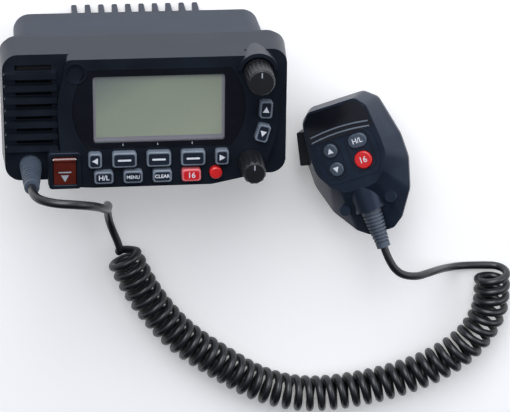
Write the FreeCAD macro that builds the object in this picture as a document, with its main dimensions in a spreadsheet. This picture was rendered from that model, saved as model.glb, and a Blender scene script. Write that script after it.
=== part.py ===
import FreeCAD, Part
import math
import os
import Sketcher

# VHF marine radio lying on its back with its fist microphone and curly lead beside it, in millimetres.
# X runs to the right of the panel, Y to its top edge, Z out of the panel. Z = 0 is the surface it lies on.

Vector = FreeCAD.Vector
Rotation = FreeCAD.Rotation
Placement = FreeCAD.Placement

doc = FreeCAD.newDocument("MarineRadio")
sheet = doc.addObject("Spreadsheet::Sheet", "Sizes")
nodes = []
rows = []


class Length:
    """A size from the sheet, or one worked out from such sizes, with the formula that binds it."""

    def __init__(self, value, formula):
        self.value = value
        self.formula = formula

    @staticmethod
    def of(other):
        if isinstance(other, Length):
            return other
        return Length(float(other), "(%r)" % float(other))

    def __add__(self, other):
        other = Length.of(other)
        return Length(self.value + other.value, "(%s + %s)" % (self.formula, other.formula))

    def __sub__(self, other):
        other = Length.of(other)
        return Length(self.value - other.value, "(%s - %s)" % (self.formula, other.formula))

    def __mul__(self, other):
        other = Length.of(other)
        return Length(self.value * other.value, "(%s * %s)" % (self.formula, other.formula))

    def __truediv__(self, other):
        other = Length.of(other)
        return Length(self.value / other.value, "(%s / %s)" % (self.formula, other.formula))

    def __neg__(self):
        return self * -1

    def __radd__(self, other):
        return Length.of(other) + self

    def __rsub__(self, other):
        return Length.of(other) - self

    def __rmul__(self, other):
        return self * other


def size(name, value, note):
    """Write one driving dimension into the sheet and hand it back as a Length."""
    rows.append(name)
    row = len(rows)
    sheet.set("A%d" % row, name)
    sheet.set("B%d" % row, str(value))
    sheet.set("C%d" % row, note)
    sheet.setAlias("B%d" % row, name)
    return Length(float(value), "Sizes." + name)


def bind(target, path, value):
    target.setExpression(path, Length.of(value).formula)


def place(target, x, y, z, angle=0):
    for axis, value in zip("xyz", (x, y, z)):
        bind(target, "Placement.Base." + axis, value)
    bind(target, "Placement.Rotation.Angle", angle)


# Outlines for sketches. Each returns a function that draws into a sketch and binds its sizes.

def circle(radius):
    radius = Length.of(radius)

    def draw(sketch):
        ring = sketch.addGeometry(Part.Circle(Vector(0, 0, 0), Vector(0, 0, 1), radius.value), False)
        sketch.addConstraint(Sketcher.Constraint("Coincident", ring, 3, -1, 1))
        fix = sketch.addConstraint(Sketcher.Constraint("Radius", ring, radius.value))
        bind(sketch, "Constraints[%d]" % fix, radius)
    return draw


def polygon(points, corner=0):
    """Straight sides between points listed anticlockwise, each corner rounded by its own radius or by corner."""
    spots = []
    for point in points:
        radius = point[2] if len(point) > 2 else corner
        spots.append((Length.of(point[0]), Length.of(point[1]), Length.of(radius)))
    count = len(spots)

    def draw(sketch):
        marks = []
        for x, y, radius in spots:
            mark = sketch.addGeometry(Part.Point(Vector(x.value, y.value, 0)), True)
            for kind, value in (("DistanceX", x), ("DistanceY", y)):
                fix = sketch.addConstraint(Sketcher.Constraint(kind, -1, 1, mark, 1, value.value))
                bind(sketch, "Constraints[%d]" % fix, value)
            marks.append(mark)
        corners = []
        for i in range(count):
            here = Vector(spots[i][0].value, spots[i][1].value, 0)
            back = Vector(spots[i - 1][0].value, spots[i - 1][1].value, 0) - here
            ahead = Vector(spots[(i + 1) % count][0].value, spots[(i + 1) % count][1].value, 0) - here
            back.normalize()
            ahead.normalize()
            half = back.getAngle(ahead) / 2
            radius = spots[i][2].value
            reach = radius / math.tan(half) if radius else 0
            corners.append((here, back, ahead, half, here + back * reach, here + ahead * reach))
        sides = []
        for i in range(count):
            start = corners[i][5]
            end = corners[(i + 1) % count][4]
            sides.append(sketch.addGeometry(Part.LineSegment(start, end), False))
        for i in range(count):
            here, back, ahead, half, enter, leave = corners[i]
            radius = spots[i][2]
            if not radius.value:
                sketch.addConstraint(Sketcher.Constraint("Coincident", sides[i - 1], 2, marks[i], 1))
                sketch.addConstraint(Sketcher.Constraint("Coincident", sides[i], 1, marks[i], 1))
                continue
            centre = here + (back + ahead).normalize() * (radius.value / math.sin(half))
            first = math.atan2(enter.y - centre.y, enter.x - centre.x)
            last = math.atan2(leave.y - centre.y, leave.x - centre.x)
            outward = back.cross(ahead).z < 0
            if not outward:
                first, last = last, first
            ring = Part.Circle(centre, Vector(0, 0, 1), radius.value)
            arc = sketch.addGeometry(Part.ArcOfCircle(ring, first, last), False)
            near, far = (1, 2) if outward else (2, 1)
            sketch.addConstraint(Sketcher.Constraint("Tangent", sides[i - 1], 2, arc, near))
            sketch.addConstraint(Sketcher.Constraint("Tangent", sides[i], 1, arc, far))
            sketch.addConstraint(Sketcher.Constraint("PointOnObject", marks[i], 1, sides[i - 1]))
            sketch.addConstraint(Sketcher.Constraint("PointOnObject", marks[i], 1, sides[i]))
            fix = sketch.addConstraint(Sketcher.Constraint("Radius", arc, radius.value))
            bind(sketch, "Constraints[%d]" % fix, radius)
    return draw


def rectangle(wide, tall, corner=0):
    x = Length.of(wide) / 2
    y = Length.of(tall) / 2
    return polygon([(-x, -y), (x, -y), (x, y), (-x, y)], corner)


# Features of a PartDesign body.

def part(label):
    body = doc.addObject("PartDesign::Body", label)
    body.Label = label
    nodes.append(body)
    return body


def datum(body, role):
    return [feature for feature in body.Origin.OriginFeatures if feature.Role == role][0]


def section(body, draw, level, x=0, y=0, angle=0, plane="XY_Plane"):
    sketch = body.newObject("Sketcher::SketchObject", "Section")
    sketch.AttachmentSupport = [(datum(body, plane), "")]
    sketch.MapMode = "FlatFace"
    for axis, value in zip("xyz", (x, y, level)):
        bind(sketch, "AttachmentOffset.Base." + axis, value)
    bind(sketch, "AttachmentOffset.Rotation.Angle", angle)
    draw(sketch)
    return sketch


def pad(body, draw, low, high, x=0, y=0, angle=0, plane="XY_Plane"):
    sketch = section(body, draw, low, x, y, angle, plane)
    feature = body.newObject("PartDesign::Pad", "Pad")
    feature.Profile = sketch
    bind(feature, "Length", Length.of(high) - low)
    return feature


def pocket(body, draw, low, high, x=0, y=0, angle=0, plane="XY_Plane"):
    sketch = section(body, draw, high, x, y, angle, plane)
    feature = body.newObject("PartDesign::Pocket", "Pocket")
    feature.Profile = sketch
    bind(feature, "Length", Length.of(high) - low)
    return feature


def loft(body, lower, low, upper, high, shift=0, cut=False):
    """A straight-sided loft; shift moves the upper section along Y."""
    first = section(body, lower, low)
    second = section(body, upper, high, 0, shift)
    kind = "SubtractiveLoft" if cut else "AdditiveLoft"
    feature = body.newObject("PartDesign::" + kind, "Loft")
    feature.Profile = first
    feature.Sections = [second]
    feature.Ruled = True
    return feature


def turned(body, points):
    """A profile of radius and height, turned about the body's Z axis."""
    sketch = section(body, polygon(points), 0, plane="XZ_Plane")
    feature = body.newObject("PartDesign::Revolution", "Turned")
    feature.Profile = sketch
    feature.ReferenceAxis = (sketch, ["V_Axis"])
    feature.Angle = 360
    return feature


def repeat(body, feature, role, pitch, count):
    pattern = body.newObject("PartDesign::LinearPattern", "Row")
    pattern.Originals = [feature]
    pattern.Direction = (datum(body, role), [""])
    bind(pattern, "Occurrences", count)
    bind(pattern, "Length", Length.of(pitch) * (Length.of(count) - 1))
    body.Tip = pattern
    return pattern


def around(body, feature, count):
    pattern = body.newObject("PartDesign::PolarPattern", "Ring")
    pattern.Originals = [feature]
    pattern.Axis = (datum(body, "Z_Axis"), [""])
    pattern.Angle = 360
    bind(pattern, "Occurrences", count)
    body.Tip = pattern
    return pattern


def softened(body, radius, height):
    """Round the edges that lie at one height of a body."""
    doc.recompute()
    base = body.Tip
    names = []
    for i, edge in enumerate(base.Shape.Edges):
        if all(abs(vertex.Z - height.value) < 0.001 for vertex in edge.Vertexes):
            names.append("Edge%d" % (i + 1))
    feature = body.newObject("PartDesign::Fillet", "Soft")
    feature.Base = (base, names)
    bind(feature, "Radius", radius)
    return feature


# Part primitives and booleans, for the simple pieces.

def block(wide, deep, low, high, x, y):
    solid = doc.addObject("Part::Box", "Block")
    bind(solid, "Length", wide)
    bind(solid, "Width", deep)
    bind(solid, "Height", Length.of(high) - low)
    place(solid, Length.of(x) - Length.of(wide) / 2, Length.of(y) - Length.of(deep) / 2, low)
    return solid


def rod(radius, low, high, x, y):
    solid = doc.addObject("Part::Cylinder", "Rod")
    bind(solid, "Radius", radius)
    bind(solid, "Height", Length.of(high) - low)
    place(solid, x, y, low)
    return solid


def joined(label, solids):
    fuse = doc.addObject("Part::MultiFuse", label)
    fuse.Shapes = solids
    return fuse


def apart(label, solids):
    group = doc.addObject("Part::Compound", label)
    group.Links = solids
    return group


def less(label, base, tool):
    cut = doc.addObject("Part::Cut", label)
    cut.Base = base
    cut.Tool = tool
    return cut


def node(label, item):
    item.Label = label
    nodes.append(item)
    return item


# Driving sizes of the radio.
panelWidth = size("panelWidth", 165, "front panel, left to right")
panelHeight = size("panelHeight", 78.8, "front panel, top to bottom")
panelCorner = size("panelCorner", 9, "corner radius of the panel")
flangePlane = size("flangePlane", 75, "height of the panel's rear rim")
sidePlane = size("sidePlane", 98, "height of the speaker side of the face")
facePlane = size("facePlane", 106, "height of the display side of the face")
topDrop = size("topDrop", 3.3, "how far the top slopes in up to the speaker side")
sideDrop = size("sideDrop", 1.5, "how far each side slopes in")
panelWall = size("panelWall", 3, "thickness of the face")
cavityWidth = size("cavityWidth", 149, "hollow behind the panel, width")
cavityHeight = size("cavityHeight", 70, "hollow behind the panel, height")
podRoot = size("podRoot", 82, "height where the raised middle starts")
chinDepth = size("chinDepth", 42.3, "lowest point of the face below its middle")
chinRoot = size("chinRoot", 41.6, "the same where the raised middle starts")
podLeft = size("podLeft", 51, "raised middle, reach to the left")
podRight = size("podRight", 76.5, "raised middle, reach to the right")
frontWall = facePlane - panelWall
sideWall = sidePlane - panelWall

chassisWidth = size("chassisWidth", 147.4, "heat-sink case, width")
chassisHeight = size("chassisHeight", 71, "heat-sink case, height")
chassisCorner = size("chassisCorner", 10, "corner radius of the case")
chassisWall = size("chassisWall", 3, "side wall of the case")
chassisRear = size("chassisRear", 17, "height of the case's rear wall above the fins' feet")
rearWall = size("rearWall", 4, "thickness of the rear wall")
lipWidth = size("lipWidth", 163, "mounting lip of the case, width")
lipHeight = size("lipHeight", 77, "mounting lip of the case, height")
lipThickness = size("lipThickness", 4, "thickness of the mounting lip")
gasketThickness = size("gasketThickness", 1.5, "panel gasket")
finCount = size("finCount", 10, "number of fins")
finPitch = size("finPitch", 8.15, "fin to fin")
finThickness = size("finThickness", 3.3, "thickness of a fin")
restPad = size("restPad", 24, "cast pad between the two middle fins")
lipTop = flangePlane - gasketThickness
lipLow = lipTop - lipThickness
rearInside = chassisRear + rearWall

lipScrewX = size("lipScrewX", 77.6, "lip screws, from the middle to each side")
lipScrewY = size("lipScrewY", 24, "lip screws, above and below the middle")
lipScrewRadius = size("lipScrewRadius", 1.5, "lip screw shank")
screwPlay = size("screwPlay", 0.2, "play of a screw in its clearance hole")
bracketHoleRadius = size("bracketHoleRadius", 2.5, "threaded hole for the bracket knob, each side")
bracketHoleDepth = size("bracketHoleDepth", 10, "depth of that hole")
bracketHoleHeight = size("bracketHoleHeight", 50, "height of that hole")
bracketBoss = size("bracketBoss", 6.5, "boss round that hole")

boardThickness = size("boardThickness", 1.6, "both circuit boards")
frontBoardTop = size("frontBoardTop", 96, "height of the front board's upper face")
mainBoardLow = size("mainBoardLow", 40, "height of the main board's lower face")
mainBoardWidth = size("mainBoardWidth", 124, "main board, width")
mainBoardHeight = size("mainBoardHeight", 58, "main board, height")
standoffX = size("standoffX", 56, "main board standoffs, sideways")
standoffY = size("standoffY", 23, "main board standoffs, up and down")
standoffRadius = size("standoffRadius", 3.2, "main board standoff")
boardScrewRadius = size("boardScrewRadius", 1.2, "board screw shank")
boardScrewHead = size("boardScrewHead", 2.4, "board screw head")
postRadius = size("postRadius", 2.6, "posts that carry the front board")

windowX = size("windowX", 7, "display window, middle")
windowY = size("windowY", 4.7, "display window, middle")
windowWidth = size("windowWidth", 82, "display window, flat part of its top edge")
windowHeight = size("windowHeight", 47, "display window, height")
windowBulge = size("windowBulge", 14, "how far the side's tangents meet outside the flat part")
windowRound = size("windowRound", 36, "radius of the bowed sides")
windowThickness = size("windowThickness", 1.6, "display window")
viewWidth = size("viewWidth", 75, "opening behind the window")
viewHeight = size("viewHeight", 39.5, "opening behind the window")
lcdWidth = size("lcdWidth", 79, "liquid crystal panel, width")
lcdHeight = size("lcdHeight", 43.4, "liquid crystal panel, height")
lcdThickness = size("lcdThickness", 3, "liquid crystal panel")
fitPlay = size("fitPlay", 0.15, "gap round a piece that is let into another")

keyPlay = size("keyPlay", 0.35, "gap round a key in its opening")
keyLip = size("keyLip", 0.8, "lip that keeps a key in")
keyLipThickness = size("keyLipThickness", 1.2, "thickness of that lip")
keyTravel = size("keyTravel", 1.2, "how far a panel key presses in")
keyRise = size("keyRise", 4.2, "how far a panel key stands out")
keyCorner = size("keyCorner", 1.8, "corner radius of a key")
upperRow = size("upperRow", -24.6, "upper row of keys")
lowerRow = size("lowerRow", -35, "lower row of keys")
softKeyX = size("softKeyX", 6.4, "middle soft key")
softKeyPitch = size("softKeyPitch", 19.65, "soft key to soft key")
softKeyWidth = size("softKeyWidth", 14, "soft key")
softKeyHeight = size("softKeyHeight", 9, "soft key")
arrowLeftX = size("arrowLeftX", -30, "left arrow key")
arrowRightX = size("arrowRightX", 42.7, "right arrow key")
arrowWidth = size("arrowWidth", 7.8, "arrow keys")
lowKeyX = size("lowKeyX", -25.2, "first key of the lower row")
lowKeyPitch = size("lowKeyPitch", 16.75, "key to key in the lower row")
lowKeyWidth = size("lowKeyWidth", 11, "key of the lower row")
lowKeyHeight = size("lowKeyHeight", 7.4, "key of the lower row")
redKeyX = size("redKeyX", 39.3, "round red key")
redKeyY = size("redKeyY", -34.5, "round red key")
redKeyRadius = size("redKeyRadius", 3.7, "round red key")
upKeyX = size("upKeyX", 67.8, "up key")
upKeyY = size("upKeyY", 3.4, "up key")
upKeyAngle = size("upKeyAngle", -4, "turn of the up key in degrees")
downKeyX = size("downKeyX", 66.1, "down key")
downKeyY = size("downKeyY", -10.8, "down key")
downKeyAngle = size("downKeyAngle", -16, "turn of the down key in degrees")
sideKeyWidth = size("sideKeyWidth", 7.4, "up and down keys")
sideKeyHeight = size("sideKeyHeight", 10.5, "up and down keys")
membraneThickness = size("membraneThickness", 1.2, "rubber keypad")
domeGap = size("domeGap", 0.2, "gap left over a dome when its key is pressed")
keyTop = facePlane + keyRise
keyLipTop = frontWall - 0.2
keyLow = keyLipTop - keyLipThickness
domeTop = keyLow - keyTravel - domeGap

volumeX = size("volumeX", 63, "volume knob")
volumeY = size("volumeY", 25.5, "volume knob")
squelchX = size("squelchX", 59.5, "squelch knob")
squelchY = size("squelchY", -28.5, "squelch knob")
volumeRadius = size("volumeRadius", 8.2, "volume knob")
squelchRadius = size("squelchRadius", 7.2, "squelch knob")
knobLift = size("knobLift", 0.6, "gap under a knob")
knobTall = size("knobTall", 21, "knob, from its foot to its top")
shaftRadius = size("shaftRadius", 3, "knob shaft")
shaftPlay = size("shaftPlay", 0.05, "play of a shaft in its bush")
shaftTop = size("shaftTop", 118, "height of a shaft's end")
bushRadius = size("bushRadius", 3.9, "threaded bush of a potentiometer")
potSize = size("potSize", 9.6, "potentiometer body")
potTall = size("potTall", 5, "potentiometer body")
hoodRadius = size("hoodRadius", 11.8, "hood round the volume knob")
hoodTop = size("hoodTop", 110, "height of the hood")

louvreX = size("louvreX", -65.4, "speaker louvres, middle")
louvreWidth = size("louvreWidth", 29.8, "speaker louvre, length")
louvreTall = size("louvreTall", 3.4, "speaker louvre, thickness")
louvrePitch = size("louvrePitch", 7.23, "louvre to louvre")
louvreCount = size("louvreCount", 7, "number of louvres")
louvreStart = size("louvreStart", -18.7, "lowest louvre")
louvreTop = size("louvreTop", 103, "height of the louvres")
slotWidth = size("slotWidth", 20.5, "slot between louvres, length")
slotX = size("slotX", -63.6, "slots, middle")
slotTall = size("slotTall", 3.2, "slot between louvres, height")
speakerX = size("speakerX", -58, "loudspeaker, middle")
speakerY = size("speakerY", 6, "loudspeaker, middle")
speakerRadius = size("speakerRadius", 16, "loudspeaker")
speakerRim = size("speakerRim", 2.4, "rim of the loudspeaker")
meshThickness = size("meshThickness", 0.4, "dust mesh")
foamThickness = size("foamThickness", 2.6, "speaker gasket")

bootX = size("bootX", -66.5, "cord boot on the panel")
bootY = size("bootY", -30, "cord boot on the panel")
bootRadius = size("bootRadius", 6.3, "cord boot at the panel")
bootTip = size("bootTip", 4.3, "cord boot at its tip")
bootNeck = size("bootNeck", 5.2, "boot where it passes a wall")
bootFlange = size("bootFlange", 7, "boot flange behind a wall")
bootLong = size("bootLong", 36, "boot outside the panel")
ribCount = size("ribCount", 9, "ribs of a boot")
ribDepth = size("ribDepth", 0.9, "groove between ribs")
wallPlay = size("wallPlay", 0.1, "gap round a boot's neck")

flapX = size("flapX", -47.3, "distress flap, middle")
flapY = size("flapY", -30.6, "distress flap, middle")
flapWidth = size("flapWidth", 12.6, "distress flap")
flapHeight = size("flapHeight", 16.2, "well of the distress flap")
flapThickness = size("flapThickness", 1.8, "distress flap")
flapRim = size("flapRim", 2.6, "rim round the flap's well")
flapRise = size("flapRise", 2.6, "height of that rim above the face")
flapPlay = size("flapPlay", 0.35, "gap round the flap")
pinRadius = size("pinRadius", 0.8, "pin of the flap")
barrelRadius = size("barrelRadius", 1.7, "knuckle of the flap")
buttonRadius = size("buttonRadius", 4, "distress button")

dimpleX = size("dimpleX", -40, "round dish at the top left of the window")
dimpleY = size("dimpleY", 27, "round dish at the top left of the window")
dimpleRadius = size("dimpleRadius", 6.3, "round dish at the top left of the window")


def topAt(height):
    """Y of the panel's sloping top at a height."""
    return panelHeight / 2 - topDrop * (height - flangePlane) / (sidePlane - flangePlane)


def podOutline(top, bottom):
    return polygon([
        (-57, 1.8 - bottom, 2), (-31, -bottom, 6), (37, -bottom, 8), (54, 3.4 - bottom, 10),
        (67, 6.4 - bottom, 6), (podRight, -6, 60), (73, 26, 7), (56, top, 2),
        (-45, top, 3), (-podLeft, 8, 60), (-49.5, -20.4, 1), (-57, -20.4, 2)])


def windowOutline(grow):
    x = windowWidth / 2 + grow
    y = windowHeight / 2 + grow
    return polygon([
        (-x, -y, 2), (x, -y, 2), (x + windowBulge, 0, windowRound),
        (x, y, 2), (-x, y, 2), (-x - windowBulge, 0, windowRound)])


# Where each panel key sits: middle, width, height, turn in degrees.
keyPlaces = {
    "key_left": (arrowLeftX, upperRow, arrowWidth, softKeyHeight, 0),
    "key_soft_left": (softKeyX - softKeyPitch, upperRow, softKeyWidth, softKeyHeight, 0),
    "key_soft_centre": (softKeyX, upperRow, softKeyWidth, softKeyHeight, 0),
    "key_soft_right": (softKeyX + softKeyPitch, upperRow, softKeyWidth, softKeyHeight, 0),
    "key_right": (arrowRightX, upperRow, arrowWidth, softKeyHeight, 0),
    "key_power_level": (lowKeyX, lowerRow, lowKeyWidth, lowKeyHeight, 0),
    "key_menu": (lowKeyX + lowKeyPitch, lowerRow, lowKeyWidth, lowKeyHeight, 0),
    "key_clear": (lowKeyX + lowKeyPitch * 2, lowerRow, lowKeyWidth, lowKeyHeight, 0),
    "key_channel16": (lowKeyX + lowKeyPitch * 3, lowerRow, lowKeyWidth, lowKeyHeight, 0),
    "key_up": (upKeyX, upKeyY, sideKeyWidth, sideKeyHeight, upKeyAngle),
    "key_down": (downKeyX, downKeyY, sideKeyWidth, sideKeyHeight, downKeyAngle)}
boardPosts = [(-38.5, 26.5), (-38.5, -12.5), (52.5, 27), (52.5, -11)]
knobPlaces = {"volume": (volumeX, volumeY), "squelch": (squelchX, squelchY)}
lipScrews = [(x, y) for x in (-lipScrewX, lipScrewX) for y in (-lipScrewY, lipScrewY)]
standoffs = [(x, y) for x in (-standoffX, standoffX) for y in (-standoffY, standoffY)]


def frontBezel():
    body = part("front_bezel")
    rim = rectangle(panelWidth, panelHeight, panelCorner)
    face = rectangle(panelWidth - sideDrop * 2, panelHeight - topDrop, panelCorner)
    loft(body, rim, flangePlane, face, sidePlane, -topDrop / 2)
    loft(body, podOutline(topAt(podRoot), chinRoot), podRoot, podOutline(topAt(facePlane), chinDepth), facePlane)
    pad(body, circle(hoodRadius), podRoot, hoodTop, volumeX, volumeY)
    pocket(body, circle(hoodRadius - 2.2), facePlane, hoodTop, volumeX, volumeY)
    pocket(body, rectangle(hoodRadius * 2.4, hoodRadius * 1.5), facePlane, hoodTop, volumeX,
           volumeY - hoodRadius * 0.6)
    bar = pad(body, rectangle(louvreWidth, louvreTall, 0.8), sideWall, louvreTop, louvreX, louvreStart)
    repeat(body, bar, "Y_Axis", louvrePitch, louvreCount)
    pad(body, rectangle(flapWidth + (flapPlay + flapRim) * 2, flapHeight + (flapPlay + flapRim) * 2, 2),
        frontWall, facePlane + flapRise, flapX, flapY)
    pad(body, circle(dimpleRadius), frontWall, facePlane + 0.8, dimpleX, dimpleY)
    pocket(body, circle(dimpleRadius - 1), facePlane - 1, facePlane + 0.8, dimpleX, dimpleY)
    pocket(body, rectangle(cavityWidth, cavityHeight, 6), flangePlane, sideWall)
    inner = [
        (-54.2, 4.9 - chinDepth, 1), (-31, 2.4 - chinDepth, 2), (37, 2.4 - chinDepth, 4),
        (53, 5.7 - chinDepth, 4), (64.8, 8.1 - chinDepth, 2), (73.2, -7, 8), (73, 8.5, 6), (70.3, 24, 3), (69.2, 31.8, 2),
        (-44, 31.8, 2), (-44, -20.2, 1), (-54.2, -20.2, 1)]
    pocket(body, polygon(inner), sideWall - 4, frontWall)
    slot = pocket(body, rectangle(slotWidth, slotTall, 0.6), sideWall, sidePlane, slotX,
                  louvreStart + louvrePitch / 2)
    repeat(body, slot, "Y_Axis", louvrePitch, louvreCount)
    pocket(body, windowOutline(fitPlay), facePlane - windowThickness - 0.1, facePlane, windowX, windowY)
    pocket(body, rectangle(viewWidth, viewHeight, 2), frontWall, facePlane, windowX, windowY)
    for x, y, wide, tall, angle in keyPlaces.values():
        opening = rectangle(wide + keyPlay * 2, tall + keyPlay * 2, keyCorner + keyPlay)
        pocket(body, opening, frontWall, facePlane, x, y, angle)
    pocket(body, circle(redKeyRadius + keyPlay), frontWall, facePlane, redKeyX, redKeyY)
    for x, y in knobPlaces.values():
        pocket(body, circle(bushRadius + wallPlay), frontWall, facePlane, x, y)
    pocket(body, rectangle(flapWidth + flapPlay * 2, flapHeight + flapPlay * 2, 0.6),
           frontWall + 1.2, facePlane + flapRise, flapX, flapY)
    pocket(body, circle(buttonRadius + keyPlay), frontWall, facePlane, flapX, flapY - 1)
    pocket(body, circle(bootFlange + 0.5), sideWall - 8, sideWall, bootX, bootY)
    pocket(body, circle(bootNeck + wallPlay), sideWall, sidePlane, bootX, bootY)
    for x, y in boardPosts:
        pad(body, circle(postRadius), frontBoardTop, frontWall + 0.3, x, y)
        pocket(body, circle(boardScrewRadius), frontBoardTop, frontWall - 1, x, y)
    for x, y in lipScrews:
        pocket(body, circle(lipScrewRadius), flangePlane, flangePlane + 10, x, y)
    pinZ = flapPinHeight()
    pocket(body, circle(pinRadius), flapX - flapWidth / 2 - 2.2, flapX + flapWidth / 2 + 2.2,
           flapPinY(), pinZ, plane="YZ_Plane")
    softened(body, 0.6, facePlane + flapRise)
    return body


def flapPinY():
    return flapY + flapHeight / 2 + flapPlay - barrelRadius - 0.35


def flapPinHeight():
    return facePlane + flapRise - 1.2


def rearChassis():
    body = part("rear_chassis")
    fin = pad(body, rectangle(finThickness, chassisHeight, 0.8), 0, chassisRear + 1,
              -finPitch * (finCount - 1) / 2, 0)
    pad(body, rectangle(chassisWidth, chassisHeight, chassisCorner), chassisRear, lipTop)
    repeat(body, fin, "X_Axis", finPitch, finCount)
    pad(body, rectangle(lipWidth, lipHeight, panelCorner), lipLow, lipTop)
    inside = rectangle(chassisWidth - chassisWall * 2, chassisHeight - chassisWall * 2,
                       chassisCorner - chassisWall)
    pocket(body, inside, rearInside, lipTop)
    pad(body, rectangle(finPitch, restPad), 0, chassisRear + 1)
    for x, y in standoffs:
        pad(body, circle(standoffRadius), rearInside - 0.5, mainBoardLow, x, y)
        pocket(body, circle(boardScrewRadius), mainBoardLow - 9, mainBoardLow, x, y)
    for x, y in lipScrews:
        pocket(body, circle(lipScrewRadius + screwPlay), lipLow, lipTop, x, y)
    half = chassisWidth / 2
    for side in (-1, 1):
        inner, outer = half - bracketHoleDepth - 1.5, half - 0.5
        if side > 0:
            pad(body, circle(bracketBoss), inner, outer, 0, bracketHoleHeight, plane="YZ_Plane")
            pocket(body, circle(bracketHoleRadius), half - bracketHoleDepth, half, 0, bracketHoleHeight,
                   plane="YZ_Plane")
        else:
            pad(body, circle(bracketBoss), -outer, -inner, 0, bracketHoleHeight, plane="YZ_Plane")
            pocket(body, circle(bracketHoleRadius), -half, bracketHoleDepth - half, 0, bracketHoleHeight,
                   plane="YZ_Plane")
    pocket(body, circle(socketNeck + wallPlay), chassisRear, rearInside, socketX, socketY)
    for x, y in glands:
        pocket(body, circle(glandNeck + wallPlay), chassisRear, rearInside, x, y)
    return body


socketX = size("socketX", 56, "aerial socket on the rear")
socketY = size("socketY", 12, "aerial socket on the rear")
socketRadius = size("socketRadius", 7.9, "thread of the aerial socket")
socketBore = size("socketBore", 5.8, "bore of the aerial socket")
socketNeck = size("socketNeck", 5.6, "part of the socket that passes the rear wall")
socketLong = size("socketLong", 12, "length of the aerial socket's thread")
glandX = size("glandX", -56, "lead glands on the rear")
powerGlandY = size("powerGlandY", 13, "power lead gland")
accessoryGlandY = size("accessoryGlandY", -13, "accessory lead gland")
glandNeck = size("glandNeck", 4.9, "gland where it passes the rear wall")
glandBore = size("glandBore", 2.6, "hole of a gland for its lead")
glandLong = size("glandLong", 9, "snout of a gland")
glands = [(glandX, powerGlandY), (glandX, accessoryGlandY)]


def rearFittings():
    body = part("antenna_socket")
    pad(body, rectangle(19, 19, 2), chassisRear - 2, chassisRear, socketX, socketY)
    pad(body, circle(socketRadius), chassisRear - 2 - socketLong, chassisRear - 2, socketX, socketY)
    pad(body, circle(socketNeck), chassisRear - 1, rearInside + 4, socketX, socketY)
    pocket(body, circle(socketBore), chassisRear - 2 - socketLong, chassisRear - 4, socketX, socketY)
    pad(body, circle(2.2), chassisRear - socketLong, chassisRear - 3.5, socketX, socketY)
    items = []
    for x, y in glands:
        end = chassisRear - 2 - glandLong
        gland = joined("Gland", [
            rod(glandNeck + 2, chassisRear - 2, chassisRear, x, y),
            rod(glandNeck, chassisRear - 1, rearInside + 3, x, y),
            rod(glandNeck + 0.6, end, chassisRear - 1, x, y)])
        items.append(less("BoredGland", gland, rod(glandBore, end - 1, rearInside + 4, x, y)))
    node("lead_glands", apart("LeadGlands", items))


def panelGasket():
    body = part("panel_gasket")
    pad(body, rectangle(lipWidth - 2, lipHeight - 2, panelCorner - 1), lipTop, flangePlane)
    pocket(body, rectangle(cavityWidth, cavityHeight, 6), lipTop, flangePlane)
    for x, y in lipScrews:
        pocket(body, circle(lipScrewRadius + screwPlay), lipTop, flangePlane, x, y)


def screw(shank, head, low, high, headThickness, x, y):
    """A screw with its head below low, its shank running up to high."""
    return joined("Screw", [rod(head, low - headThickness, low, x, y), rod(shank, low, high, x, y)])


def screws():
    items = [screw(lipScrewRadius - 0.02, 2.8, lipLow, flangePlane + 9.5, 2, x, y) for x, y in lipScrews]
    node("chassis_screws", apart("ChassisScrews", items))
    items = []
    for x, y in boardPosts:
        items.append(screw(boardScrewRadius - 0.02, boardScrewHead, frontBoardTop - boardThickness,
                           frontWall - 1.5, 1.8, x, y))
    for x, y in standoffs:
        top = mainBoardLow + boardThickness
        shank = rod(boardScrewRadius - 0.02, mainBoardLow - 8.5, top, x, y)
        items.append(joined("Screw", [shank, rod(boardScrewHead, top, top + 1.8, x, y)]))
    node("board_screws", apart("BoardScrews", items))


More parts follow.
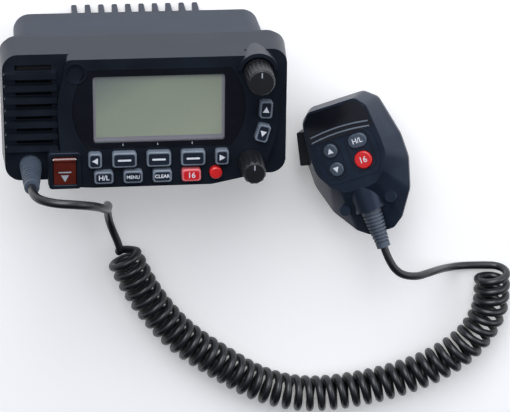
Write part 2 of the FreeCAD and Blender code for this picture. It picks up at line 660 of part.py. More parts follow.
def electronics():
    body = part("front_board")
    outline = [
        (-53.4, 5.5 - chinDepth), (-31, 3.7 - chinDepth), (37, 3.7 - chinDepth), (52, 6.7 - chinDepth),
        (63.6, 8.9 - chinDepth), (72, -7), (69.4, 24), (68.4, 31), (-41.6, 31), (-41.6, -20.8), (-53.4, -20.8)]
    pad(body, polygon(outline), frontBoardTop - boardThickness, frontBoardTop)
    for x, y in boardPosts:
        pocket(body, circle(boardScrewRadius + screwPlay), frontBoardTop - boardThickness, frontBoardTop, x, y)

    body = part("main_board")
    pad(body, rectangle(mainBoardWidth, mainBoardHeight, 2), mainBoardLow, mainBoardLow + boardThickness)
    for x, y in standoffs:
        pocket(body, circle(boardScrewRadius + screwPlay), mainBoardLow, mainBoardLow + boardThickness, x, y)

    top = mainBoardLow + boardThickness
    shell = block(66, 42, top, top + 12, -8, 0)
    node("rf_shield", less("Shield", shell, block(64.8, 40.8, top - 1, top + 11.4, -8, 0)))
    node("power_amplifier", joined("Amplifier", [
        block(34, 14, rearInside, mainBoardLow, 8, 18), block(40, 20, rearInside, rearInside + 3, 8, 18)]))

    body = part("lcd_panel")
    pad(body, rectangle(lcdWidth, lcdHeight, 0.6), frontWall - lcdThickness, frontWall, windowX, windowY)
    body = part("lcd_backlight")
    pad(body, rectangle(lcdWidth - 3, lcdHeight - 3, 0.6), frontBoardTop, frontWall - lcdThickness,
        windowX, windowY)
    body = part("display_window")
    pad(body, windowOutline(0), facePlane - windowThickness - 0.1, facePlane - 0.1, windowX, windowY)

    body = part("keypad_membrane")
    base = frontBoardTop + membraneThickness
    pad(body, polygon([
        (-36, 4 - chinDepth), (37, 4 - chinDepth), (49.5, 6.6 - chinDepth), (49.5, -22.6), (63, -22.6),
        (71, -7), (71, 9.6), (61.6, 9.6), (61.6, -18.4), (-36, -18.4)], 0.5), frontBoardTop, base)
    for x, y, wide, tall, angle in keyPlaces.values():
        pad(body, circle(2.4), base - 0.2, domeTop, x, y)
    pad(body, circle(2.4), base - 0.2, domeTop, redKeyX, redKeyY)

    node("distress_switch", joined("DistressSwitch", [
        block(6, 6, frontBoardTop, frontBoardTop + 3, flapX, flapY - 1),
        rod(1.8, frontBoardTop, domeTop, flapX, flapY - 1)]))


def loudspeaker():
    body = part("loudspeaker")
    place(body, speakerX, speakerY, 0)
    top = sideWall - meshThickness - foamThickness
    turned(body, [
        (0, top - 15), (9.5, top - 15), (9.5, top - 8.5), (speakerRadius - 1, top - 1.5),
        (speakerRadius, top - 1.5), (speakerRadius, top), (speakerRadius - speakerRim, top),
        (5, top - 6), (0, top - 6)])
    ring = rod(speakerRadius, top, top + foamThickness, speakerX, speakerY)
    hole = rod(speakerRadius - speakerRim, top, top + foamThickness, speakerX, speakerY)
    node("speaker_gasket", less("SpeakerGasket", ring, hole))
    node("speaker_mesh", joined("SpeakerMesh", [
        block(26, 50, sideWall - meshThickness, sideWall, -60, 7),
        rod(speakerRadius, sideWall - meshThickness, sideWall, speakerX, speakerY)]))


def pots():
    for name, (x, y) in knobPlaces.items():
        bushTop = facePlane - 0.2
        body = part(name + "_pot")
        potTop = frontBoardTop + potTall
        pad(body, rectangle(potSize, potSize, 0.6), frontBoardTop, potTop, x, y)
        pad(body, circle(bushRadius), potTop, bushTop, x, y)
        pocket(body, circle(shaftRadius + shaftPlay), frontBoardTop + 1, bushTop, x, y)
        node(name + "_shaft", rod(shaftRadius, frontBoardTop + 1.2, shaftTop, x, y))


def knob(label, radius, x, y, fluteCount, fluteRadius):
    body = part(label)
    place(body, x, y, 0)
    low = facePlane + knobLift
    top = low + knobTall
    turned(body, [
        (shaftRadius + 0.01, low), (radius, low), (radius, low + 2.4), (radius - 0.5, top - 1.4),
        (radius - 1.6, top), (0, top), (0, shaftTop), (shaftRadius + 0.01, shaftTop)])
    flute = pocket(body, circle(fluteRadius), low + 2.4, top, radius + 0.15)
    around(body, flute, fluteCount)
    return body


def panelKeys():
    for label, (x, y, wide, tall, angle) in keyPlaces.items():
        body = part(label)
        place(body, x, y, 0, angle)
        pad(body, rectangle(wide + keyLip * 2, tall + keyLip * 2, keyCorner), keyLow, keyLipTop)
        pad(body, rectangle(wide, tall, keyCorner), keyLipTop, keyTop)
        softened(body, 0.7, keyTop)
    body = part("key_red")
    place(body, redKeyX, redKeyY, 0)
    pad(body, circle(redKeyRadius + keyLip), keyLow, keyLipTop)
    pad(body, circle(redKeyRadius), keyLipTop, keyTop - 0.8)
    softened(body, 1.2, keyTop - 0.8)


def distress():
    pinY = flapPinY()
    pinZ = flapPinHeight()
    reach = flapWidth / 2
    body = part("distress_flap")
    plateTop = facePlane + flapRise - 0.2
    bottom = flapY - flapHeight / 2
    height = pinY - bottom
    pad(body, rectangle(flapWidth, height, 0.4), plateTop - flapThickness, plateTop, flapX, (pinY + bottom) / 2)
    pad(body, circle(barrelRadius), flapX - reach, flapX + reach, pinY, pinZ, plane="YZ_Plane")
    pocket(body, circle(pinRadius + shaftPlay), flapX - reach, flapX + reach, pinY, pinZ, plane="YZ_Plane")
    body = part("flap_pin")
    pad(body, circle(pinRadius), flapX - reach - 2, flapX + reach + 2, pinY, pinZ, plane="YZ_Plane")
    node("distress_button", joined("DistressButton", [
        rod(buttonRadius + keyLip, keyLow, keyLipTop, flapX, flapY - 1),
        rod(buttonRadius, keyLow, facePlane - 0.6, flapX, flapY - 1)]))


def boot(label, long, wall, neck, flange):
    """A ribbed strain relief that starts at z = 0 on the outside of a wall and points up."""
    body = part(label)
    collar = 3
    points = [
        (0, -wall - 2.5), (flange, -wall - 2.5), (flange, -wall), (neck, -wall), (neck, 0),
        (bootRadius, 0), (bootRadius, collar)]
    pitch = (long - collar - 2) / ribCount
    count = int(ribCount.value)
    for i in range(count):
        low = collar + pitch * i
        radius = bootRadius - (bootRadius - bootTip) * (i + 0.5) / count
        points += [(radius - ribDepth, low), (radius - ribDepth, low + pitch * 0.4),
                   (radius, low + pitch * 0.4), (radius, low + pitch)]
    points += [(bootTip, long - 2), (bootTip, long), (0, long)]
    turned(body, points)
    return body


# Driving sizes of the fist microphone, in its own frame: X across, Y towards its grille, Z out of its face.
micHalf = size("micHalf", 31.2, "microphone, half its width")
micTop = size("micTop", 41.5, "microphone, middle to its top edge")
micBottom = size("micBottom", 45.5, "microphone, middle to its bottom edge")
micThick = size("micThick", 33, "microphone, back to face")
micParting = size("micParting", 16, "height of the line where its shells meet")
micBelly = size("micBelly", 13, "height where its back reaches full width")
micBackInset = size("micBackInset", 5, "how far its back is drawn in")
micFaceInset = size("micFaceInset", 8, "how far its face is drawn in")
micWall = size("micWall", 2.4, "wall of its shells")
micCeiling = size("micCeiling", 26.5, "inside of the face under the grille")
micKeyWall = size("micKeyWall", 30, "inside of the face over the keys")
micPanelThickness = size("micPanelThickness", 1.6, "key panel")
micKeyTravel = size("micKeyTravel", 1, "how far a microphone key presses in")
micKeyTop = size("micKeyTop", 35.2, "top of a microphone key")
micKeyRadius = size("micKeyRadius", 4.5, "round microphone key")
micRedRadius = size("micRedRadius", 5.5, "red microphone key")
micBoardLow = size("micBoardLow", 24, "microphone board")
collarRadius = size("collarRadius", 9.4, "collar where the lead enters the microphone")
collarHeight = size("collarHeight", 24, "height of that collar's axis")
collarStart = size("collarStart", 13, "collar, below the middle")
collarEnd = size("collarEnd", 29, "end of the collar, below the middle")
micBootLong = size("micBootLong", 25, "ribbed boot of the microphone")
micBootNeck = size("micBootNeck", 4.4, "that boot where it passes the collar")
micBootFlange = size("micBootFlange", 5.6, "flange of that boot")
boreDepth = size("boreDepth", 11, "collar's bore")
pttLong = size("pttLong", 21, "talk lever")
pttTall = size("pttTall", 12, "talk lever")
pttX = size("pttX", -29, "talk lever, middle of the side it sits in")
pttY = size("pttY", 19, "talk lever, middle of the side it sits in")
pttAngle = size("pttAngle", -13, "turn of that side in degrees")
pttRise = size("pttRise", 3, "how far the talk lever stands out")
pttTravel = size("pttTravel", 1.8, "how far the talk lever presses in")
studY = size("studY", 8, "hanger stud on the back")
studRadius = size("studRadius", 7, "hanger stud")
studLong = size("studLong", 11.2, "hanger stud")
micX = size("micX", 141.9, "place of the microphone")
micY = size("micY", -63.6, "place of the microphone")
micYaw = size("micYaw", 21.5, "turn of the microphone on the surface in degrees")
micLean = size("micLean", 24, "lean of the microphone on its stud in degrees")
micLeanWay = size("micLeanWay", 157, "way it leans, degrees from X")
micLift = size("micLift", 15.4, "height of the middle of its back")

way = math.radians(micLeanWay.value)
leanAxis = Vector(-math.sin(way), math.cos(way), 0)
micTurn = Rotation(leanAxis, micLean.value) * Rotation(Vector(0, 0, 1), micYaw.value)
micPlace = Placement(Vector(micX.value, micY.value, micLift.value), micTurn)
micScrews = [(18, 30), (-15, -25), (15, -25)]
micKeys = {
    "mic_key_up": (-9.3, 13.8, micKeyRadius * 2, micKeyRadius),
    "mic_key_down": (-9.3, 1.9, micKeyRadius * 2, micKeyRadius),
    "mic_key_power": (9, 15, 12, micKeyRadius),
    "mic_key_16": (8.6, 2.7, micRedRadius * 2, micRedRadius)}
micLipTop = micKeyWall - 0.2
micKeyLow = micLipTop - keyLipThickness


def micOutline(inset):
    """Outline of the microphone, widest above its middle and drawn in towards the lead."""
    side = [
        (8, -micBottom + inset, 5), (15 - inset * 0.4, 5 - micBottom + inset * 0.8, 6),
        (25.6 - inset * 0.8, inset * 0.5 - 25, 14), (micHalf - inset, -6, 16), (micHalf - inset, 9, 16),
        (25.4 - inset * 0.8, 35 - inset * 0.5, 6), (17.5 - inset * 0.4, micTop - inset, 5)]
    return mirrored(side)


def mirrored(side):
    """An outline from its right-hand half, given from the bottom up."""
    return polygon(side + [(-Length.of(x), y, radius) for x, y, radius in reversed(side)])


def micFaceOutline():
    half = micHalf - micFaceInset
    return mirrored([
        (5, -14, 4), (11.5, -13, 4), (17.5, -7.5, 6), (half, 2, 14), (half, 12, 14), (21.2, 34, 6),
        (15.5, 40.5, 5)])


def micCavity(top):
    """Hollow of the front shell, narrower where it meets the face."""
    if top:
        return mirrored([(13, -11.5, 2), (19.3, -5, 4), (22.6, 3, 10), (22.6, 12, 10), (19.8, 32.5, 4),
                         (14.3, 37.6, 3)])
    return mirrored([(17, -17, 2), (24.6, -12, 4), (28.4, -4, 10), (28.4, 9, 10), (23.4, 33.5, 4),
                     (16, 38.6, 3)])


def pttGap(grow):
    return rectangle(9, pttLong + grow * 2)


def micShells():
    body = part("mic_rear_shell")
    loft(body, micOutline(micBackInset), 0, micOutline(0), micBelly)
    pad(body, micOutline(0), micBelly, micParting)
    loft(body, micOutline(micBackInset + micWall), micWall, micOutline(micWall), micBelly, cut=True)
    pocket(body, micOutline(micWall), micBelly, micParting)
    for x, y in micScrews:
        pad(body, circle(3.8), micWall - 0.5, micParting, x, y)
        pocket(body, circle(boardScrewRadius + screwPlay), 0, micParting, x, y)
        pocket(body, circle(boardScrewHead + screwPlay), 0, 1.6, x, y)
    for x, y in ((-13, 11), (13, 20), (0, -1)):
        pad(body, circle(2.4), micWall - 0.5, micBoardLow, x, y)
    pad(body, rectangle(6, 8), micWall - 0.5, 12, pttX + 12.2, pttY + 2, pttAngle)
    pocket(body, pttGap(keyPlay), micParting - pttTall / 2 - keyPlay, micParting, pttX, pttY, pttAngle)
    body.Placement = micPlace

    body = part("mic_front_shell")
    loft(body, micOutline(0), micParting, micFaceOutline(), micThick)
    pad(body, circle(collarRadius), collarStart, collarEnd, 0, collarHeight, plane="XZ_Plane")
    loft(body, micCavity(False), micParting, micCavity(True), micCeiling, cut=True)
    pocket(body, rectangle(33, 25.5, 3), micCeiling - 0.5, micKeyWall, 0.3, 8.2)
    for x, y in micScrews:
        pad(body, circle(3.4), micParting, micCeiling + 0.5, x, y)
        pocket(body, circle(boardScrewRadius), micParting, micCeiling - 1, x, y)
    pocket(body, circle(bootRadius + 0.4), collarEnd, micBottom + 3, 0, collarHeight, plane="XZ_Plane")
    pocket(body, circle(micBootNeck + wallPlay), collarEnd - boreDepth, collarEnd, 0, collarHeight,
           plane="XZ_Plane")
    pocket(body, circle(micBootFlange + 0.4), collarStart - 4, collarEnd - boreDepth, 0, collarHeight,
           plane="XZ_Plane")
    pocket(body, rectangle(31, 18, 4), micThick - 2, micThick, 0, 29.8)
    pocket(body, circle(3.6), micCeiling, micThick - 2, 0, 31)
    pocket(body, micPanelOutline(fitPlay), micThick - 1.2, micThick)
    for x, y, wide, radius in micKeys.values():
        opening = rectangle(Length.of(wide) + keyPlay * 2, radius * 2 + keyPlay * 2, radius + keyPlay - 0.05)
        pocket(body, opening, micKeyWall, micThick - 1.2, x, y)
    pocket(body, pttGap(keyPlay), micParting, micParting + pttTall / 2 + keyPlay, pttX, pttY, pttAngle)
    pocket(body, rectangle(5.2, pttLong + 3), micParting, micParting + pttTall / 2 + keyLip + keyPlay,
           pttX + 6.6, pttY - 1.5, pttAngle)
    body.Placement = micPlace


def micPanelOutline(grow):
    return polygon([
        (-15.6 - grow, -7.2 - grow), (15.6 + grow, -7.2 - grow), (20 + grow, 4, 10),
        (19.4 + grow, 19.6 + grow), (-19.4 - grow, 19.6 + grow), (-20 - grow, 4, 10)], 4)


def micTrim():
    body = part("mic_grille_insert")
    low = micThick - 2
    pad(body, rectangle(30.7, 17.7, 3.85), low, low + 1, 0, 29.8)
    slot = pocket(body, rectangle(5.4, 0.9, 0.4), low, low + 1, 0, 29.8)
    repeat(body, slot, "Y_Axis", 2.4, 2)
    bar = pad(body, rectangle(28, 1.8, 0.6), low + 0.5, low + 2, 0, 22.6)
    repeat(body, bar, "Y_Axis", 4.8, 2)
    body.Placement = micPlace

    body = part("mic_key_panel")
    low = micThick - 1.2
    pad(body, micPanelOutline(0), low, low + micPanelThickness)
    for x, y, wide, radius in micKeys.values():
        opening = rectangle(Length.of(wide) + keyPlay * 2, radius * 2 + keyPlay * 2, radius + keyPlay - 0.05)
        pocket(body, opening, low, low + micPanelThickness, x, y)
    body.Placement = micPlace

    for label, (x, y, wide, radius) in micKeys.items():
        body = part(label)
        wide = Length.of(wide)
        pad(body, rectangle(wide + keyLip * 2, (radius + keyLip) * 2, radius + keyLip - 0.05), micKeyLow, micLipTop)
        pad(body, rectangle(wide, radius * 2, radius - 0.05), micLipTop, micKeyTop)
        softened(body, 1, micKeyTop)
        body.Placement = micPlace * Placement(Vector(x, y, 0), Rotation())


def micInside():
    body = part("mic_board")
    pad(body, rectangle(32, 26, 2), micBoardLow, micBoardLow + 1.5, 0, 9)
    body.Placement = micPlace
    body = part("mic_keypad_membrane")
    low = micBoardLow + 1.5
    pad(body, rectangle(31, 24, 2), low, low + 1, 0, 8.4)
    for x, y, wide, radius in micKeys.values():
        pad(body, circle(2.4), low + 0.8, micKeyLow - micKeyTravel - domeGap, x, y)
    body.Placement = micPlace
    capsule = node("mic_capsule", apart("Capsule", [rod(4.8, micCeiling - 6, micCeiling, 0, 31)]))
    capsule.Placement = micPlace

    body = part("ptt_lever")
    outer = -pttRise
    pad(body, rectangle(6.2 + pttRise, pttLong, 1), micParting - pttTall / 2, micParting + pttTall / 2,
        (Length.of(6.2) + outer) / 2)
    pad(body, rectangle(1, pttLong + 2), micParting - pttTall / 2 - 0.8, micParting + pttTall / 2 + 0.8, 6.2)
    body.Placement = micPlace * Placement(Vector(pttX.value, pttY.value, 0),
                                          Rotation(Vector(0, 0, 1), pttAngle.value))
    body = part("ptt_switch")
    pad(body, rectangle(6, 8, 0.4), 12, 20, pttX + 12.2, pttY + 2, pttAngle)
    body.Placement = micPlace

    stud = joined("Stud", [rod(studRadius, -studLong, 2.5 - studLong, 0, studY),
                           rod(3.5, -studLong, 0, 0, studY)])
    node("mic_hanger_stud", stud).Placement = micPlace
    items = []
    for x, y in micScrews:
        items.append(joined("Screw", [rod(boardScrewHead, 0.2, 1.6, x, y),
                                      rod(boardScrewRadius - 0.02, 0.2, micCeiling - 2, x, y)]))
    node("mic_screws", apart("MicScrews", items)).Placement = micPlace


# The lead: ribbed boots, two smooth tails and the curly part between them.
cordDiameter = size("cordDiameter", 5, "cord")
curlRadius = size("curlRadius", 9.4, "radius of the curls, to the middle of the cord")
curlPitch = size("curlPitch", 7.5, "curl to curl along the lead")
curlHeight = size("curlHeight", 12, "height of the curls' axis above the surface")

cordRadius = cordDiameter.value / 2
bootEnd = sidePlane.value + bootLong.value
coilRoute = [
    (-11, -121), (-4, -139), (8, -161), (26, -184), (51, -203), (78, -221.5), (107, -230), (137, -228.5),
    (166, -223), (194, -213), (217, -197), (229, -176), (230, -158), (229, -146)]


def spline(poles):
    """The clamped quadratic spline with these poles."""
    curve = Part.BSplineCurve()
    knots = len(poles) - 1
    curve.buildFromPolesMultsKnots(poles, [3] + [1] * (knots - 2) + [3], list(range(knots)), False, 2)
    return curve


def curlPoint(curve, turn, turns, total):
    """Point of the curl after a number of turns; the radius grows over the first turn."""
    share = turn / turns
    spot = curve.parameterAtDistance(total * share)
    centre = curve.value(spot)
    heading = curve.tangent(spot)[0]
    up = Vector(0, 0, 1)
    across = heading.cross(up)
    grow = min(1.0, turn / 0.75)
    radius = curlRadius.value * (3 * grow ** 2 - 2 * grow ** 3)
    angle = 2 * math.pi * turn
    return centre + (up * math.cos(angle) + across * math.sin(angle)) * radius


def biarc(start, startWay, end, endWay):
    """Two tangent arcs from one point and direction to another."""
    chord = end - start
    ways = startWay + endWay
    dot = startWay.dot(endWay)
    spread = 2 * (1 - dot)
    if spread < 1e-9:
        return [Part.LineSegment(start, end).toShape()]
    across = chord.dot(ways)
    leg = (-across + math.sqrt(across ** 2 + spread * chord.dot(chord))) / spread
    middle = (start + startWay * leg + end - endWay * leg) / 2
    edges = []
    for a, wayA, b in ((start, startWay, middle), (middle, None, end)):
        if wayA is None:
            corner = end - endWay * leg
        else:
            corner = start + startWay * leg
        half = (a + b) / 2
        inward = half - corner
        spanHalf = (b - a).Length / 2
        height = inward.Length
        if height < 1e-7:
            edges.append(Part.LineSegment(a, b).toShape())
            continue
        radius = spanHalf * leg / height
        depth = radius - math.sqrt(max(0.0, radius ** 2 - spanHalf ** 2))
        edges.append(Part.Arc(a, half - inward.normalize() * depth, b).toShape())
    return edges


def sweep(edges, label):
    wire = Part.Wire(edges)
    first = wire.OrderedEdges[0]
    start = first.valueAt(first.FirstParameter)
    heading = first.tangentAt(first.FirstParameter)
    if (start - edges[0].Vertexes[0].Point).Length > 0.001:
        print(label, "starts at the other end")
    profile = Part.Wire([Part.Circle(start, heading, cordRadius).toShape()])
    tube = wire.makePipeShell([profile], True, False)
    ratio = tube.Volume / (math.pi * cordRadius ** 2 * wire.Length)
    print("%s length %.1f, volume against section times length %.4f" % (label, wire.Length, ratio))
    item = doc.addObject("Part::Feature", label)
    item.Shape = tube
    node(label, item)
    return item


def tail(label, points):
    """Straight runs joined by tangent arcs, each as large as its two runs allow."""
    spots = [Vector(*point) for point in points]
    edges = []
    here = spots[0]
    radii = []
    for before, corner, after in zip(spots, spots[1:], spots[2:]):
        back = before - corner
        ahead = after - corner
        shorter = min(back.Length, ahead.Length)
        back.normalize()
        ahead.normalize()
        turn = math.pi - back.getAngle(ahead)
        reach = 0.45 * shorter
        radius = reach / math.tan(turn / 2)
        radii.append(radius)
        start = corner + back * reach
        end = corner + ahead * reach
        middle = corner + (back + ahead).normalize() * (radius / math.cos(turn / 2) - radius)
        edges.append(Part.LineSegment(here, start).toShape())
        edges.append(Part.Arc(start, middle, end).toShape())
        here = end
    edges.append(Part.LineSegment(here, spots[-1]).toShape())
    print(label, "radii", [round(radius, 1) for radius in radii])
    return sweep(edges, label)


def curlyCord():
    poles = [Vector(x, y, curlHeight.value) for x, y in coilRoute]
    curve = spline(poles)
    total = curve.length()
    turns = round(total / curlPitch.value) + 0.5
    quarters = int(turns * 4)
    points = [curlPoint(curve, i / 4, turns, total) for i in range(quarters + 1)]
    ways = []
    for i in range(quarters + 1):
        before = curlPoint(curve, max(0.0, i / 4 - 0.001), turns, total)
        after = curlPoint(curve, min(turns, i / 4 + 0.001), turns, total)
        ways.append((after - before).normalize())
    ways[0] = curve.tangent(curve.FirstParameter)[0]
    edges = [Part.LineSegment(points[0] - ways[0] * cordDiameter.value, points[0]).toShape()]
    for i in range(quarters):
        edges += biarc(points[i], ways[i], points[i + 1], ways[i + 1])
    stub = points[-1] + ways[-1] * cordDiameter.value
    edges.append(Part.LineSegment(points[-1], stub).toShape())
    samples = []
    for edge in edges:
        for step in range(6):
            share = edge.FirstParameter + (edge.LastParameter - edge.FirstParameter) * step / 6
            samples.append(edge.valueAt(share))
    nearest = 1000.0
    skip = 24
    for i in range(len(samples)):
        for j in range(i + skip, min(len(samples), i + 120)):
            nearest = min(nearest, (samples[i] - samples[j]).Length)
    print("curls", turns, "axis length", round(total, 1), "least gap", round(nearest - cordDiameter.value, 2))
    sweep(edges, "cord_coil")
    return points[0] - ways[0] * cordDiameter.value, ways[0], stub, ways[-1]


def tails(bootTipPoint, bootWay):
    """The two smooth ends, from the panel to the curls and from the microphone to the curls."""
    start, startWay, end, endWay = curlyCord()
    top = sidePlane.value + bootLong.value
    tail("cord_tail_radio", [
        (bootX.value, bootY.value, top), (bootX.value, bootY.value, top + 14), (-56.5, -30.3, top + 24),
        (-41.5, -31.5, top + 24.5), (-30.5, -37, top + 14.5), (-25, -46, 131), (-22.2, -57.5, 98),
        (-21.3, -68.5, 68), (-20.5, -80, 40), (-19.4, -90.8, 21.5), start - startWay * 14, start])
    tail("cord_tail_mic", [
        bootTipPoint, bootTipPoint + bootWay * 10, (160, -127, 55), (171.5, -131.5, 49.5), (182.5, -134, 38),
        (191, -138.5, 24), (200, -143.5, 10), end + endWay * 13, end])


doc.recompute()
frontBezel()
rearChassis()
rearFittings()
panelGasket()
screws()
electronics()
loudspeaker()
pots()
knob("volume_knob", volumeRadius, volumeX, volumeY, 20, 0.9)
knob("squelch_knob", squelchRadius, squelchX, squelchY, 12, 1.2)
panelKeys()
distress()
radioBoot = boot("radio_boot", bootLong, panelWall, bootNeck, bootFlange)
place(radioBoot, bootX, bootY, sidePlane)
micShells()
micTrim()
micInside()
micBoot = boot("mic_boot", micBootLong, boreDepth, micBootNeck, micBootFlange)
outOfCollar = Placement(Vector(0, -collarEnd.value, collarHeight.value), Rotation(Vector(1, 0, 0), 90))
micBoot.Placement = micPlace * outOfCollar
tails(micBoot.Placement.multVec(Vector(0, 0, micBootLong.value)),
      micBoot.Placement.Rotation.multVec(Vector(0, 0, 1)))
doc.recompute()

os.makedirs("parts", exist_ok=True)
for item in doc.Objects:
    if any(word in item.State for word in ("Invalid", "Error")):
        raise RuntimeError("%s failed: %s" % (item.Label, item.State))
    if item.isDerivedFrom("PartDesign::Pocket") and item.BaseFeature is not None:
        if item.BaseFeature.Shape.Volume - item.Shape.Volume < 0.001:
            print("cuts nothing:", item.getParentGeoFeatureGroup().Label, item.Name)
for item in nodes:
    shape = item.Shape
    if shape.isNull() or not shape.isValid():
        raise RuntimeError(item.Label + " has no valid shape")
    shape.exportStep("parts/" + item.Label + ".step")
    box = shape.BoundBox
    print("%-20s solids %d  volume %9.1f  z %.1f to %.1f" % (
        item.Label, len(shape.Solids), shape.Volume, box.ZMin, box.ZMax))
print(len(nodes), "nodes")
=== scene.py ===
import math

import bmesh
import bpy
from mathutils import Matrix, Vector


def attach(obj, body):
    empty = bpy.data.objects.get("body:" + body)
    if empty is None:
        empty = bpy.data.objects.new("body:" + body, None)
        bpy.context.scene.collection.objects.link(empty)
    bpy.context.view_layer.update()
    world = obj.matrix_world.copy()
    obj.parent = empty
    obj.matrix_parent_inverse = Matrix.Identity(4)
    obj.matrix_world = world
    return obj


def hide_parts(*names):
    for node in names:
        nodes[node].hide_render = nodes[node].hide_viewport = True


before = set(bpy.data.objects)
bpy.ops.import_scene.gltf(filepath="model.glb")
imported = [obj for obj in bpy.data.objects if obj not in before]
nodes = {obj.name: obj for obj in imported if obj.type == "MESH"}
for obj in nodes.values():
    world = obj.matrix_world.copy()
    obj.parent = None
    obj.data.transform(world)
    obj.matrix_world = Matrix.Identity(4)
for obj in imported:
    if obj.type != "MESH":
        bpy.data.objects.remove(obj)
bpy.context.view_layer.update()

mm = 0.001
upward = Vector((0, 0, 1))
unmoved = Matrix.Identity(4)


def linear(text):
    # "#rrggbb" as the photograph shows it, to Blender's linear colour
    parts = [int(text[i:i + 2], 16) / 255 for i in (1, 3, 5)]
    parts = [c / 12.92 if c <= 0.04045 else ((c + 0.055) / 1.055) ** 2.4 for c in parts]
    return (*parts, 1.0)


def addObject(name, data):
    made = bpy.data.objects.new(name, data)
    bpy.context.collection.objects.link(made)
    return made


# camera: the photograph's own viewpoint, found from the panel's outline

view = {
    "right": (0.993030, 0.011327, 0.117318), "up": (0.033524, 0.927115, -0.373275),
    "back": (-0.112995, 0.374607, 0.920273), "place": (-0.076329, 0.403213, 1.236457),
    "lens": 149.012, "sensor": 36, "nearest": 0.01}
camera = bpy.data.cameras.new("camera")
camera.lens = view["lens"]
camera.sensor_width = view["sensor"]
camera.sensor_fit = "HORIZONTAL"
camera.clip_start = view["nearest"]
cameraObject = addObject("camera", camera)
turn = Matrix((view["right"], view["up"], view["back"])).transposed().to_4x4()
cameraObject.matrix_world = Matrix.Translation(view["place"]) @ turn
bpy.context.scene.camera = cameraObject


# materials

def newMaterial(name):
    material = bpy.data.materials.new(name)
    material.use_nodes = True
    return material, material.node_tree, material.node_tree.nodes["Principled BSDF"]


def setInputs(node, values):
    for name, value in values.items():
        node.inputs[name].default_value = value
    return node


def newNode(tree, kind, values):
    return setInputs(tree.nodes.new(kind), values)


def texturePoint(tree):
    # object coordinates counted in millimetres
    coordinates = tree.nodes.new("ShaderNodeTexCoord")
    mapping = newNode(tree, "ShaderNodeMapping", {"Scale": (1 / mm, 1 / mm, 1 / mm)})
    tree.links.new(coordinates.outputs["Object"], mapping.inputs["Vector"])
    return mapping.outputs["Vector"]


def colourRamp(tree, source, target, stops):
    # stops are positions and colours, from the lowest up
    ramp = tree.nodes.new("ShaderNodeValToRGB")
    elements = ramp.color_ramp.elements
    elements[0].position = stops[0][0]
    elements[1].position = stops[-1][0]
    for position, _ in stops[1:-1]:
        elements.new(position)
    for element, (_, colour) in zip(elements, stops):
        element.color = linear(colour)
    tree.links.new(source, ramp.inputs["Fac"])
    tree.links.new(ramp.outputs["Color"], target)


def addBump(tree, shader, height, strength, distance):
    bump = newNode(tree, "ShaderNodeBump", {"Strength": strength, "Distance": distance})
    tree.links.new(height, bump.inputs["Height"])
    tree.links.new(bump.outputs["Normal"], shader.inputs["Normal"])


usualSpec = {
    "cloud": 0.06, "cloudDetail": 4, "cloudLow": 0.3, "cloudHigh": 0.7, "grain": 2.2, "grainDetail": 3,
    "smoother": 0.05, "rougher": 0.07, "bump": 0.25, "bumpDepth": 0.0001, "metal": 0.0, "specular": 0.5,
    "tint": "#ffffff", "coat": 0.0, "coatRough": 0.12}


def mould(given):
    # moulded plastic, rubber or metal: a faint colour cloud, and grain in the bump and the roughness
    spec = {**usualSpec, **given}
    material, tree, shader = newMaterial(spec["name"])
    point = texturePoint(tree)
    cloud = newNode(tree, "ShaderNodeTexNoise", {"Scale": spec["cloud"], "Detail": spec["cloudDetail"]})
    tree.links.new(point, cloud.inputs["Vector"])
    colourRamp(tree, cloud.outputs["Fac"], shader.inputs["Base Color"],
               [(spec["cloudLow"], spec["dark"]), (spec["cloudHigh"], spec["light"])])
    grain = newNode(tree, "ShaderNodeTexNoise", {"Scale": spec["grain"], "Detail": spec["grainDetail"]})
    tree.links.new(point, grain.inputs["Vector"])
    spread = newNode(tree, "ShaderNodeMapRange", {"To Min": spec["rough"] - spec["smoother"],
                                                  "To Max": spec["rough"] + spec["rougher"]})
    tree.links.new(grain.outputs["Fac"], spread.inputs["Value"])
    tree.links.new(spread.outputs["Result"], shader.inputs["Roughness"])
    addBump(tree, shader, grain.outputs["Fac"], spec["bump"], spec["bumpDepth"])
    setInputs(shader, {
        "Metallic": spec["metal"], "Specular IOR Level": spec["specular"],
        "Specular Tint": linear(spec["tint"]), "Coat Weight": spec["coat"],
        "Coat Roughness": spec["coatRough"]})
    return material


